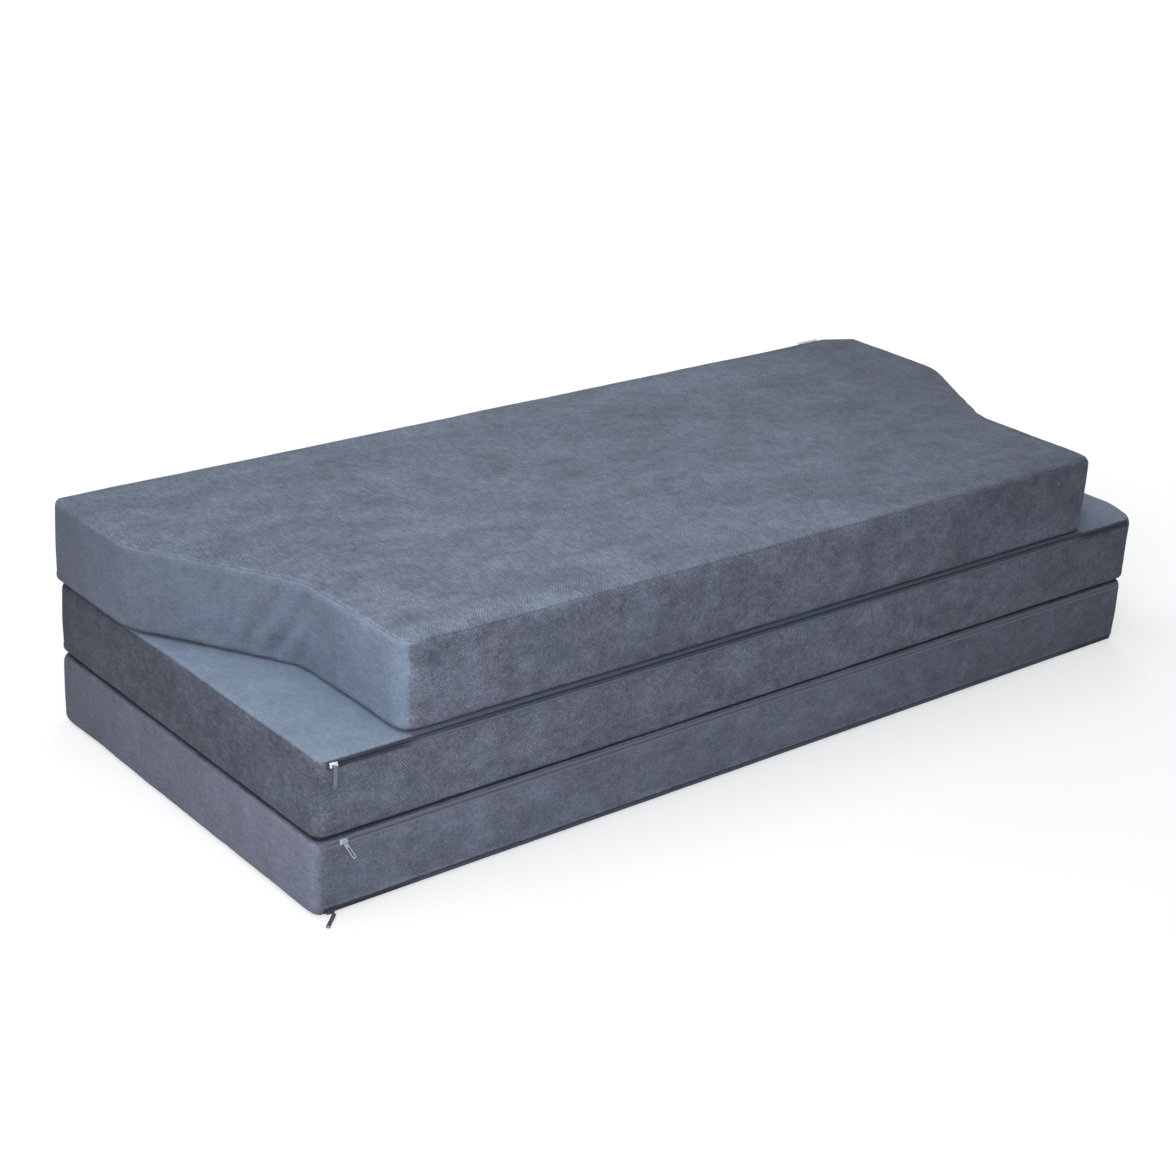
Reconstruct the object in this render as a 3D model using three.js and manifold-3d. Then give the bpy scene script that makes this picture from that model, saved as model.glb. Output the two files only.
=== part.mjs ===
// A folding mattress: three foam sections in fabric covers, folded in a Z into one stack.
// Millimetres, +Z up, +X along the sections, +Y to the back. The origin is the middle of the underside.
// The base and the middle section are joined by a fabric hinge at the back, the middle and the top at the front.
import * as THREE from "three";
import { mergeVertices } from "three/addons/utils/BufferGeometryUtils.js";
import Module from "manifold-3d";

const wasm = await Module();
wasm.setup();

// Driving dimensions of the sections
const sectionLength = 1500;
const sectionDepth = 630;
const sectionHeight = 105;
const topLength = 1512;
const topHeight = 120;
const narrowLength = 1258;
const bendStart = 205;
const bendEnd = 455;
const bendRoundingShare = 0.15;
const crown = 3;
const topCrown = 4;
const sideBulge = 1.5;
const edgeRadius = 10;
const cornerMore = 4;
const narrowCornerMore = 18;
const stackGap = 0.3;

// Cover and foam
const coverThickness = 2;
const seamGap = 0.3;
const foamClearance = 0.3;
const foamEdgeMore = 6;
const seamAngle = 45;

// Fabric hinges
const hingeOffset = 4.5;
const leafThickness = 0.6;
const leafGap = 0.3;
const leafSeat = 0.3;
const leafRootWidth = 2;
const leafRootSetback = 1;
const hingeEndInset = 4;

// Zips
const tapeWidth = 3.4;
const tapeThickness = 0.8;
const tapeInset = 0.3;
const tapeSideGap = 0.3;
const coilWidth = 1.8;
const coilHeight = 1.4;
const coilSeat = 0.3;
const zipSlotWidth = 1.2;
const stopLength = 2;
const stopGap = 0.3;
const slotPastTape = 0.4;

// Sliders
const sliderLength = 11;
const sliderHalfWidth = 3.4;
const sliderPlate = 1.2;
const sliderLowerPlate = 1;
const sliderRunningGap = 0.3;
const postLength = 2.4;
const postThickness = 0.6;
const lugThickness = 1.2;
const lugRadius = 1.6;
const lugBore = 0.9;
const lugStand = 2.3;
const gapSliderSetIn = 16;

// Pulls
const pinRadius = 0.5;
const pullSideGap = 0.3;
const cheekThickness = 0.8;
const cheekReach = 0.5;
const pullThickness = 1;
const pullDrop = 3.5;
const pullOverlap = 0.5;
const pullLength = 24;
const pullWidth = 5;
const pullHoleRadius = 1.2;
const gapPullLean = 31;
const floorPullLean = -50;
const floorPullClearance = 0.3;

// Care label
const labelWidth = 46;
const labelReach = 7;
const labelThickness = 0.6;
const labelPlaceShare = 0.88;

// How finely round shapes are cut
const cornerSteps = 3;
const edgeSteps = 3;
const sideSteps = 2;
const straightSteps = 3;
const roundSteps = 10;
const bendShares = [0, bendRoundingShare / 2, bendRoundingShare, 0.5, 1 - bendRoundingShare, 1 - bendRoundingShare / 2, 1];
const crownShares = [0.15, 0.5, 0.9];
const spineShare = 0.5;

// One overrun for all cuts
const overrun = 5;

const fabricColour = 0x5d6575;
const innerFabricColour = 0x525a69;
const foamColour = 0xe6dcc0;
const tapeColour = 0x2c3446;
const metalColour = 0xb9bfc6;
const labelColour = 0xf2f2f0;

const rad = THREE.MathUtils.degToRad;

const fabric = () => new THREE.MeshStandardMaterial({ color: fabricColour, roughness: 0.95, metalness: 0 });
const innerFabric = () => new THREE.MeshStandardMaterial({ color: innerFabricColour, roughness: 0.95, metalness: 0 });
const foam = () => new THREE.MeshStandardMaterial({ color: foamColour, roughness: 1, metalness: 0 });
const tape = () => new THREE.MeshStandardMaterial({ color: tapeColour, roughness: 0.8, metalness: 0 });
const metal = () => new THREE.MeshStandardMaterial({ color: metalColour, roughness: 0.3, metalness: 1 });
const labelCloth = () => new THREE.MeshStandardMaterial({ color: labelColour, roughness: 0.9, metalness: 0 });

// A closed geometry as a solid that can be joined and cut.
function solidOf(geometry, matrix = new THREE.Matrix4()) {
  const bare = geometry.index ? geometry.toNonIndexed() : geometry.clone();
  bare.deleteAttribute("normal");
  bare.deleteAttribute("uv");
  bare.applyMatrix4(matrix);
  const merged = mergeVertices(bare, 1e-4);
  return new wasm.Manifold(
    new wasm.Mesh({
      numProp: 3,
      vertProperties: new Float32Array(merged.attributes.position.array),
      triVerts: new Uint32Array(merged.index.array),
    }),
  );
}

// A solid's surface as a geometry.
function geometryOf(solid) {
  const made = solid.getMesh();
  const geometry = new THREE.BufferGeometry();
  geometry.setAttribute("position", new THREE.BufferAttribute(new Float32Array(made.vertProperties), 3));
  geometry.setIndex(new THREE.BufferAttribute(new Uint32Array(made.triVerts), 1));
  geometry.computeVertexNormals();
  return geometry;
}

function named(name, geometry, material) {
  const mesh = new THREE.Mesh(geometry, material);
  mesh.name = name;
  return mesh;
}

// A box between two corners, as a geometry.
function boxBetween(low, high) {
  const size = high.clone().sub(low);
  const middle = low.clone().add(high).multiplyScalar(0.5);
  return new THREE.BoxGeometry(size.x, size.y, size.z).translate(middle.x, middle.y, middle.z);
}

// A round bar along X, as a geometry.
function barAlongX(radius, length) {
  return new THREE.CylinderGeometry(radius, radius, length, roundSteps).rotateZ(Math.PI / 2);
}

// A profile in Y and Z, carried along X for a length about the middle.
function alongX(points, length) {
  const shape = new THREE.Shape(points.map(([y, z]) => new THREE.Vector2(y, z)));
  const geometry = new THREE.ExtrudeGeometry(shape, { depth: length, bevelEnabled: false, steps: 1 });
  const turn = new THREE.Matrix4().makeBasis(
    new THREE.Vector3(0, 1, 0),
    new THREE.Vector3(0, 0, 1),
    new THREE.Vector3(1, 0, 0),
  );
  return geometry.applyMatrix4(turn).translate(-length / 2, 0, 0);
}

// How far across the S-bend has come, and how steeply, as shares: straight, with a rounded end on either side.
function bendAt(share) {
  const steepest = 1 / (1 - bendRoundingShare);
  const rounded = (along) => [(steepest * along ** 2) / (2 * bendRoundingShare), (steepest * along) / bendRoundingShare];
  if (share <= bendRoundingShare) return rounded(share);
  if (share < 1 - bendRoundingShare) return [steepest * (share - bendRoundingShare / 2), steepest];
  const [left, steepness] = rounded(1 - share);
  return [1 - left, steepness];
}

// The plan outline of a section, anticlockwise from above, each point with its outward direction.
// The front may be narrower than the back: then an S-shaped bend joins the two widths on either side.
function planOutline({ half, narrowHalf, halfDepth, corner, narrowCorner, inset }) {
  const right = [];
  const put = (x, y, dx, dy) => right.push({ x: x - dx * inset, y: y - dy * inset, dx, dy });
  const arc = (x, y, radius, from) => {
    for (let k = 0; k <= cornerSteps; k++) {
      const turn = from + (k / cornerSteps) * (Math.PI / 2);
      put(x + radius * Math.cos(turn), y + radius * Math.sin(turn), Math.cos(turn), Math.sin(turn));
    }
  };
  const frontStraight = narrowHalf - narrowCorner;
  const backStraight = half - corner;
  for (let k = 0; k < straightSteps; k++) put((k / straightSteps) * frontStraight, -halfDepth, 0, -1);
  arc(frontStraight, -halfDepth + narrowCorner, narrowCorner, -Math.PI / 2);
  if (narrowHalf < half) {
    bendShares.forEach((share) => {
      const [across, steepness] = bendAt(share);
      const slope = ((half - narrowHalf) * steepness) / (bendEnd - bendStart);
      const away = new THREE.Vector2(1, -slope).normalize();
      const y = -halfDepth + THREE.MathUtils.lerp(bendStart, bendEnd, share);
      put(narrowHalf + across * (half - narrowHalf), y, away.x, away.y);
    });
  } else {
    put(half, 0, 1, 0);
  }
  arc(backStraight, halfDepth - corner, corner, 0);
  for (let k = straightSteps - 1; k >= 0; k--) put((k / straightSteps) * backStraight, halfDepth, 0, 1);
  const left = right
    .slice(1, -1)
    .reverse()
    .map(({ x, y, dx, dy }) => ({ x: -x, y, dx: -dx, dy }));
  return [...right, ...left];
}

// A cushion: rounded edges, sides that swell between drawn-in seams, a flat underside and a crowned top.
function cushion({ plan, floor, ceiling, edge, rise, bulge }) {
  const outline = planOutline(plan);
  const rim = ceiling - rise;
  const spineHalf = plan.narrowHalf * spineShare;
  const rings = [];
  const ring = (inset, z) => rings.push(outline.map(({ x, y, dx, dy }) => [x - dx * inset, y - dy * inset, z]));
  for (let k = 0; k <= edgeSteps; k++) {
    const turn = (k / edgeSteps) * (Math.PI / 2);
    ring(edge * (1 - Math.sin(turn)), floor + edge * (1 - Math.cos(turn)));
  }
  for (let k = 1; k < sideSteps; k++) {
    const share = k / sideSteps;
    ring(-bulge * Math.sin(Math.PI * share), THREE.MathUtils.lerp(floor + edge, rim - edge, share));
  }
  for (let k = 0; k <= edgeSteps; k++) {
    const turn = (k / edgeSteps) * (Math.PI / 2);
    ring(edge * (1 - Math.cos(turn)), rim - edge * (1 - Math.sin(turn)));
  }
  const shoulder = rings[rings.length - 1];
  crownShares.forEach((share) => {
    const z = rim + rise * (1 - (1 - share) ** 2);
    rings.push(
      shoulder.map(([x, y]) => [
        THREE.MathUtils.lerp(x, THREE.MathUtils.clamp(x, -spineHalf, spineHalf), share),
        THREE.MathUtils.lerp(y, 0, share),
        z,
      ]),
    );
  });
  const count = outline.length;
  const faces = [];
  for (let k = 0; k + 1 < rings.length; k++) {
    for (let i = 0; i < count; i++) {
      const next = (i + 1) % count;
      const [a, b, c, d] = [k * count + i, k * count + next, (k + 1) * count + next, (k + 1) * count + i];
      faces.push(a, b, c, a, c, d);
    }
  }
  const flat = (points) => THREE.ShapeUtils.triangulateShape(points.map(([x, y]) => new THREE.Vector2(x, y)), []);
  const last = (rings.length - 1) * count;
  flat(rings[rings.length - 1]).forEach(([a, b, c]) => faces.push(last + a, last + b, last + c));
  flat(rings[0]).forEach(([a, b, c]) => faces.push(c, b, a));
  const geometry = new THREE.BufferGeometry();
  geometry.setAttribute("position", new THREE.Float32BufferAttribute(rings.flat(2), 3));
  geometry.setIndex(faces);
  return geometry;
}

// Where the sections lie in the folded stack, and the plan of each
const halfDepth = sectionDepth / 2;
const plainPlan = {
  half: sectionLength / 2,
  narrowHalf: sectionLength / 2,
  halfDepth,
  corner: edgeRadius + cornerMore,
  narrowCorner: edgeRadius + cornerMore,
};
const topPlan = {
  half: topLength / 2,
  narrowHalf: narrowLength / 2,
  halfDepth,
  corner: edgeRadius + cornerMore,
  narrowCorner: edgeRadius + narrowCornerMore,
};
const base = { name: "base", plan: plainPlan, floor: 0, height: sectionHeight, rise: crown };
const middle = { name: "middle", plan: plainPlan, floor: sectionHeight + stackGap, height: sectionHeight, rise: crown };
const top = {
  name: "top",
  plan: topPlan,
  floor: middle.floor + sectionHeight + stackGap,
  height: topHeight,
  rise: topCrown,
};

// Zip sizes that follow from the cover's edge, as distances from the middle of the edge's rounding
const tapeOuter = edgeRadius - tapeInset;
const tapeInner = tapeOuter - tapeThickness;
const coilFoot = tapeOuter + coilSeat;
const coilTop = coilFoot + coilHeight;
const plateFoot = coilTop + sliderRunningGap;
const plateTop = plateFoot + sliderPlate;
const lowerPlateTop = tapeInner - sliderRunningGap;
const lowerPlateFoot = lowerPlateTop - sliderLowerPlate;
const lugAxis = plateTop + lugStand;
const tapeReach = zipSlotWidth / 2 + tapeWidth;
const slotHalfAngle = Math.atan((tapeReach + tapeSideGap) / tapeInner);
const zipTilt = rad(seamAngle) - slotHalfAngle;
const zipHalf = sectionLength / 2 - plainPlan.corner;
const coilHalf = zipHalf - stopLength - stopGap;
const sliderPlace = -(coilHalf - sliderLength / 2);

// The four zips: the section that each closes, its edge, and how its pull lies.
// The pull at the floor has swung out until its end lies just clear of the floor.
const upperEdge = (section) => section.floor + section.height - section.rise - edgeRadius;
const lowerEdge = (section) => section.floor + edgeRadius;
const pullReach = pullDrop + pullLength + pullWidth / 2;
const floorPinHeight = lowerEdge(base) - lugAxis * Math.sin(zipTilt);
const floorPullSwing = Math.acos((floorPinHeight - floorPullClearance) / pullReach);
const zips = [
  {
    name: "middle_zip",
    section: middle,
    z: upperEdge(middle),
    tilt: zipTilt,
    turn: 0,
    sliderX: sliderPlace,
    lean: 0,
    swing: 0,
  },
  {
    name: "base_upper_zip",
    section: base,
    z: upperEdge(base),
    tilt: zipTilt,
    turn: 0,
    sliderX: sliderPlace + gapSliderSetIn,
    lean: gapPullLean,
    swing: 0,
  },
  {
    name: "base_lower_zip",
    section: base,
    z: lowerEdge(base),
    tilt: -zipTilt,
    turn: 0,
    sliderX: sliderPlace,
    lean: floorPullLean,
    swing: floorPullSwing,
  },
  {
    name: "top_zip",
    section: top,
    z: lowerEdge(top),
    tilt: -zipTilt,
    turn: Math.PI,
    sliderX: sliderPlace,
    lean: 0,
    swing: 0,
  },
];

// The slot that a zip fills in its cover: a wedge about the middle of the edge's rounding.
function zipSlot(zip) {
  const inner = lowerPlateFoot - sliderRunningGap;
  const outer = edgeRadius + overrun;
  const at = (radius, angle) => [-radius * Math.cos(angle), radius * Math.sin(angle)];
  const low = zip.tilt - slotHalfAngle;
  const high = zip.tilt + slotHalfAngle;
  const wedge = alongX([at(inner, low), at(outer, low), at(outer, high), at(inner, high)], 2 * (zipHalf + slotPastTape));
  wedge.translate(0, -halfDepth + edgeRadius, zip.z);
  return solidOf(wedge, new THREE.Matrix4().makeRotationZ(zip.turn));
}

// A section's foam core and its cover, cut along its seams into a top panel, a border and a bottom panel.
function buildSection(section) {
  const group = new THREE.Group();
  const { name, plan, floor, height, rise } = section;
  const ceiling = floor + height;
  const bulge = sideBulge;
  const outer = solidOf(
    cushion({ plan: { ...plan, inset: 0 }, floor, ceiling, edge: edgeRadius, rise, bulge }),
  );
  const hollow = solidOf(
    cushion({
      plan: { ...plan, inset: coverThickness },
      floor: floor + coverThickness,
      ceiling: ceiling - coverThickness,
      edge: edgeRadius - coverThickness,
      rise,
      bulge,
    }),
  );
  let shell = outer.subtract(hollow);
  zips.filter((zip) => zip.section === section).forEach((zip) => {
    shell = shell.subtract(zipSlot(zip));
  });
  const seamDepth = edgeRadius * (1 - Math.sin(rad(seamAngle)));
  const topSeam = ceiling - rise - seamDepth;
  const bottomSeam = floor + seamDepth;
  const reach = plan.half + overrun;
  const slice = (low, high) =>
    shell.intersect(
      solidOf(
        boxBetween(
          new THREE.Vector3(-reach, -halfDepth - overrun, low),
          new THREE.Vector3(reach, halfDepth + overrun, high),
        ),
      ),
    );
  const topPanel = slice(topSeam + seamGap / 2, ceiling + overrun);
  const border = slice(bottomSeam + seamGap / 2, topSeam - seamGap / 2);
  const bottomPanel = slice(floor - overrun, bottomSeam - seamGap / 2);
  group.add(named(name + "_top_panel", geometryOf(topPanel), fabric()));
  group.add(named(name + "_border", geometryOf(border), fabric()));
  group.add(named(name + "_bottom_panel", geometryOf(bottomPanel), innerFabric()));

  const inset = coverThickness + foamClearance;
  const foamEdge = edgeRadius + foamEdgeMore;
  const foamPlan = {
    half: plan.half - inset,
    narrowHalf: plan.narrowHalf - inset,
    halfDepth: halfDepth - inset,
    corner: foamEdge + cornerMore,
    narrowCorner: foamEdge + narrowCornerMore,
    inset: 0,
  };
  const core = cushion({
    plan: foamPlan,
    floor: floor + inset,
    ceiling: ceiling - inset,
    edge: foamEdge,
    rise,
    bulge,
  });
  group.add(named(name + "_foam", core, foam()));
  return group;
}

// A zip along its cover's edge. Its own frame has X along the zip, Y across it and Z out of the edge.
function buildZip(zip) {
  const edge = new THREE.Group();
  edge.rotation.z = zip.turn;
  const run = new THREE.Group();
  run.position.set(0, -halfDepth + edgeRadius, zip.z);
  run.rotation.x = Math.PI / 2 - zip.tilt;
  edge.add(run);
  const slotHalf = zipSlotWidth / 2;
  [
    ["upper", 1],
    ["lower", -1],
  ].forEach(([side, sign]) => {
    const strip = boxBetween(
      new THREE.Vector3(-zipHalf, slotHalf, tapeInner),
      new THREE.Vector3(zipHalf, slotHalf + tapeWidth, tapeOuter),
    );
    const coil = boxBetween(
      new THREE.Vector3(-coilHalf, slotHalf, coilFoot),
      new THREE.Vector3(coilHalf, slotHalf + coilWidth, coilTop),
    );
    const flip = sign > 0 ? 0 : Math.PI;
    const stripMesh = named(zip.name + "_tape_" + side, strip.rotateZ(flip), tape());
    const coilMesh = named(zip.name + "_coil_" + side, coil.rotateZ(flip), tape());
    run.add(stripMesh, coilMesh);
  });
  [
    ["left", -1],
    ["right", 1],
  ].forEach(([side, sign]) => {
    const stop = new THREE.BoxGeometry(stopLength, 2 * (slotHalf + coilWidth), coilHeight);
    stop.translate(sign * (zipHalf - stopLength / 2), 0, coilFoot + coilHeight / 2);
    run.add(named(zip.name + "_stop_" + side, stop, metal()));
  });
  run.add(buildSlider(zip));
  edge.add(buildPull(zip));
  return edge;
}

// The slider: an outer and an inner plate on a post, with a bored lug that carries the pull.
function buildSlider(zip) {
  const halfLength = sliderLength / 2;
  const plate = (low, high) =>
    boxBetween(
      new THREE.Vector3(-halfLength, -sliderHalfWidth, low),
      new THREE.Vector3(halfLength, sliderHalfWidth, high),
    );
  const post = boxBetween(
    new THREE.Vector3(-halfLength, -postThickness / 2, lowerPlateFoot),
    new THREE.Vector3(-halfLength + postLength, postThickness / 2, plateTop),
  );
  const neck = boxBetween(
    new THREE.Vector3(-lugThickness / 2, -lugRadius, plateFoot),
    new THREE.Vector3(lugThickness / 2, lugRadius, lugAxis),
  );
  const lug = barAlongX(lugRadius, lugThickness).translate(0, 0, lugAxis);
  const bore = barAlongX(lugBore, lugThickness + 2 * overrun).translate(0, 0, lugAxis);
  const body = solidOf(plate(plateFoot, plateTop))
    .add(solidOf(plate(lowerPlateFoot, lowerPlateTop)))
    .add(solidOf(post))
    .add(solidOf(neck))
    .add(solidOf(lug))
    .subtract(solidOf(bore));
  const mesh = named(zip.name + "_slider", geometryOf(body), metal());
  mesh.position.x = zip.sliderX;
  return mesh;
}

// The pull: a pin in the lug's bore, two cheeks beside the lug and a flat tab with a hole near its end.
function buildPull(zip) {
  const cheekInner = lugThickness / 2 + pullSideGap;
  const cheekOuter = cheekInner + cheekThickness;
  const front = -cheekReach - pullThickness;
  let body = solidOf(barAlongX(pinRadius, 2 * cheekOuter));
  [-1, 1].forEach((sign) => {
    const middleX = (sign * (cheekInner + cheekOuter)) / 2;
    const cheek = new THREE.BoxGeometry(cheekThickness, pinRadius - front, pullDrop + pinRadius);
    cheek.translate(middleX, (pinRadius + front) / 2, (pinRadius - pullDrop) / 2);
    body = body.add(solidOf(cheek));
  });
  const tabLength = pullLength + pullOverlap;
  const tab = new THREE.BoxGeometry(pullWidth, pullThickness, tabLength).translate(0, 0, -tabLength / 2);
  const end = new THREE.CylinderGeometry(pullWidth / 2, pullWidth / 2, pullThickness, roundSteps);
  const hole = new THREE.CylinderGeometry(pullHoleRadius, pullHoleRadius, pullThickness + 2 * overrun, roundSteps);
  const lean = new THREE.Matrix4()
    .makeTranslation(0, front + pullThickness / 2, -pullDrop + pullOverlap)
    .multiply(new THREE.Matrix4().makeRotationY(-rad(zip.lean)));
  const tip = new THREE.Matrix4().makeTranslation(0, 0, -tabLength);
  body = body
    .add(solidOf(tab, lean))
    .add(solidOf(end, lean.clone().multiply(tip)))
    .subtract(solidOf(hole, lean.clone().multiply(tip)));
  const mesh = named(zip.name + "_pull", geometryOf(body), metal());
  mesh.position.set(
    zip.sliderX,
    -halfDepth + edgeRadius - lugAxis * Math.cos(zip.tilt),
    zip.z + lugAxis * Math.sin(zip.tilt),
  );
  mesh.rotation.x = -zip.swing;
  return mesh;
}

// A fabric hinge: a leaf sewn on the lower section's top panel and a leaf under the upper section's edge.
// The two meet at the fold, which stands off the sections' faces so that they clear each other when laid flat.
function buildHinge(name, lower, upper, length, turn) {
  const group = new THREE.Group();
  group.rotation.z = turn;
  const fold = -halfDepth - hingeOffset + leafGap;
  const seat = lower.floor + lower.height - lower.rise + leafSeat;
  const bottomLeafTop = lower.floor + lower.height + stackGap / 2 - leafGap / 2;
  const rootFront = -halfDepth + edgeRadius - leafRootSetback;
  const rootBack = rootFront + leafRootWidth;
  const lowerLeaf = alongX(
    [
      [fold, bottomLeafTop - leafThickness],
      [rootFront, bottomLeafTop - leafThickness],
      [rootFront, seat],
      [rootBack, seat],
      [rootBack, bottomLeafTop],
      [fold, bottomLeafTop],
    ],
    length,
  );
  const topLeafFoot = bottomLeafTop + leafGap;
  const clearHeight = topLeafFoot + leafThickness + leafSeat - upper.floor;
  const under = Math.sqrt(edgeRadius ** 2 - (edgeRadius - clearHeight) ** 2);
  const upperLeaf = alongX(
    [
      [fold, topLeafFoot],
      [-halfDepth + edgeRadius - under, topLeafFoot],
      [-halfDepth + edgeRadius - under, topLeafFoot + leafThickness],
      [fold, topLeafFoot + leafThickness],
    ],
    length,
  );
  group.add(named(name + "_lower_leaf", lowerLeaf, innerFabric()));
  group.add(named(name + "_upper_leaf", upperLeaf, innerFabric()));
  return group;
}

// A blank care label, sewn into the top section's back seam and standing out of it.
function buildLabel() {
  const strip = boxBetween(
    new THREE.Vector3(-labelWidth / 2, -labelThickness / 2, edgeRadius + leafSeat),
    new THREE.Vector3(labelWidth / 2, labelThickness / 2, edgeRadius + leafSeat + labelReach),
  );
  const mesh = named("care_label", strip, labelCloth());
  mesh.position.set((labelPlaceShare * topLength) / 2, halfDepth - edgeRadius, upperEdge(top));
  mesh.rotation.x = -rad(seamAngle);
  return mesh;
}

const mattress = new THREE.Group();
[base, middle, top].forEach((section) => mattress.add(buildSection(section)));
zips.forEach((zip) => mattress.add(buildZip(zip)));
const backHingeLength = sectionLength - 2 * (plainPlan.corner + hingeEndInset);
const frontHingeLength = narrowLength - 2 * (topPlan.narrowCorner + hingeEndInset);
mattress.add(buildHinge("back_hinge", base, middle, backHingeLength, Math.PI));
mattress.add(buildHinge("front_hinge", middle, top, frontHingeLength, 0));
mattress.add(buildLabel());

export default mattress;
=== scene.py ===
"""A folding mattress in a light studio: three foam sections in suede covers, folded into one stack."""
import math
import bmesh
import bpy
from mathutils import Matrix, Vector, noise


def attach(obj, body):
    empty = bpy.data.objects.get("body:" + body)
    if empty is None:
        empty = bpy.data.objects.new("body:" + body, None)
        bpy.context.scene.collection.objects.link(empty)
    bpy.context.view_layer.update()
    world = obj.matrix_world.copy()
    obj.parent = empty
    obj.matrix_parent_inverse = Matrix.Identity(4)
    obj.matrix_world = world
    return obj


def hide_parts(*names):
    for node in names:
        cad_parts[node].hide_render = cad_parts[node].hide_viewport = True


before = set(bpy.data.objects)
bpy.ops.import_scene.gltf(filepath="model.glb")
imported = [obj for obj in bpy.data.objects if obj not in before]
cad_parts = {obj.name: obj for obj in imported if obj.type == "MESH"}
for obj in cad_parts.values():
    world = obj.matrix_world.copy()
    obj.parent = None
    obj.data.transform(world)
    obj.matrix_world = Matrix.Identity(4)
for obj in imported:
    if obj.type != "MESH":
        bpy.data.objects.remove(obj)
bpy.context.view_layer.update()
mm = 0.001

# The camera stands in front of the left end, a little above the stack, and is tipped slightly
# clockwise. Its place and lens were fitted to the edges of the sections in the photograph.
azimuth = math.radians(-40.99)
elevation = math.radians(23.01)
roll = math.radians(3.68)
backward = Vector((
    math.sin(azimuth) * math.cos(elevation),
    -math.cos(azimuth) * math.cos(elevation),
    math.sin(elevation),
))
level = Vector((0, 0, 1)).cross(backward).normalized()
upright = backward.cross(level)
right = level * math.cos(roll) + upright * math.sin(roll)
upward = upright * math.cos(roll) - level * math.sin(roll)
camera = bpy.data.objects.new("camera", bpy.data.cameras.new("camera"))
camera.data.sensor_width = 36
camera.data.lens = 67.49
camera.data.clip_end = 60
camera.matrix_world = Matrix((
    (right.x, upward.x, backward.x, -1.986),
    (right.y, upward.y, backward.y, -2.1871),
    (right.z, upward.z, backward.z, 1.3912),
    (0, 0, 0, 1),
))
bpy.context.collection.objects.link(camera)
bpy.context.scene.camera = camera
bpy.context.scene.view_settings.view_transform = "Standard"


# The studio has a pale sweep of a floor, a large soft lamp high on the left and a weaker one on the
# right. The floor and the world show white to the camera and in gloss, and the shadow stays.
def add_node(tree, kind, **settings):
    made = tree.nodes.new(kind)
    for key, value in settings.items():
        setattr(made, key, value)
    return made


def put_in(made, **values):
    for key, value in values.items():
        made.inputs[key.replace("_", " ")].default_value = value


def seen_directly(tree):
    rays = add_node(tree, "ShaderNodeLightPath")
    glossy = add_node(tree, "ShaderNodeMath", operation="MAXIMUM")
    either = add_node(tree, "ShaderNodeMath", operation="MAXIMUM")
    tree.links.new(rays.outputs["Is Glossy Ray"], glossy.inputs[0])
    tree.links.new(rays.outputs["Is Transmission Ray"], glossy.inputs[1])
    tree.links.new(rays.outputs["Is Camera Ray"], either.inputs[0])
    tree.links.new(glossy.outputs[0], either.inputs[1])
    return either.outputs[0]


floor_form = bmesh.new()
bmesh.ops.create_grid(floor_form, x_segments=2, y_segments=2, size=14)
floor = bpy.data.objects.new("floor", bpy.data.meshes.new("floor"))
floor_form.to_mesh(floor.data)
floor_form.free()
bpy.context.collection.objects.link(floor)

floor_material = bpy.data.materials.new("pale floor")
floor_material.use_nodes = True
tree = floor_material.node_tree
plain = tree.nodes["Principled BSDF"]
put_in(plain, Base_Color=(0.62, 0.62, 0.62, 1), Roughness=0.9, Specular_IOR_Level=0.1)
plain.inputs["Emission Color"].default_value = (1, 1, 1, 1)
away = add_node(tree, "ShaderNodeVectorMath", operation="LENGTH")
tree.links.new(add_node(tree, "ShaderNodeTexCoord").outputs["Object"], away.inputs[0])
paler = add_node(tree, "ShaderNodeMapRange")
for label, value in (("From Min", 0.9), ("From Max", 3.2), ("To Min", 0.55), ("To Max", 0.9)):
    paler.inputs[label].default_value = value
tree.links.new(away.outputs["Value"], paler.inputs["Value"])
lift = add_node(tree, "ShaderNodeMath", operation="MULTIPLY")
tree.links.new(seen_directly(tree), lift.inputs[0])
tree.links.new(paler.outputs[0], lift.inputs[1])
tree.links.new(lift.outputs[0], plain.inputs["Emission Strength"])
floor.data.materials.append(floor_material)

world = bpy.data.worlds.new("studio")
world.use_nodes = True
bpy.context.scene.world = world
tree = world.node_tree
sky = tree.nodes["Background"]
sky.inputs["Color"].default_value = (0.97, 0.985, 1, 1)
strength = add_node(tree, "ShaderNodeMapRange")
put_in(strength, To_Min=0.32, To_Max=1.02)
tree.links.new(seen_directly(tree), strength.inputs["Value"])
tree.links.new(strength.outputs[0], sky.inputs["Strength"])


def soft_lamp(name, place, target, width, watts, colour):
    lamp = bpy.data.objects.new(name, bpy.data.lights.new(name, "AREA"))
    lamp.data.shape = "SQUARE"
    lamp.data.size = width
    lamp.data.energy = watts
    lamp.data.color = colour
    aim = (Vector(target) - Vector(place)).to_track_quat("-Z", "Y")
    lamp.matrix_world = Matrix.Translation(place) @ aim.to_matrix().to_4x4()
    bpy.context.collection.objects.link(lamp)


soft_lamp("key lamp", (-1.95, -1.75, 1.3), (-0.2, 0, 0.15), 1.0, 29, (0.94, 0.97, 1))
soft_lamp("top lamp", (-0.9, 0.3, 2.7), (-0.3, 0.1, 0.3), 1.8, 27, (0.95, 0.975, 1))
soft_lamp("back lamp", (2.6, 2.4, 1.7), (0, 0, 0.2), 1.6, 20, (1, 0.98, 0.96))


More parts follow.
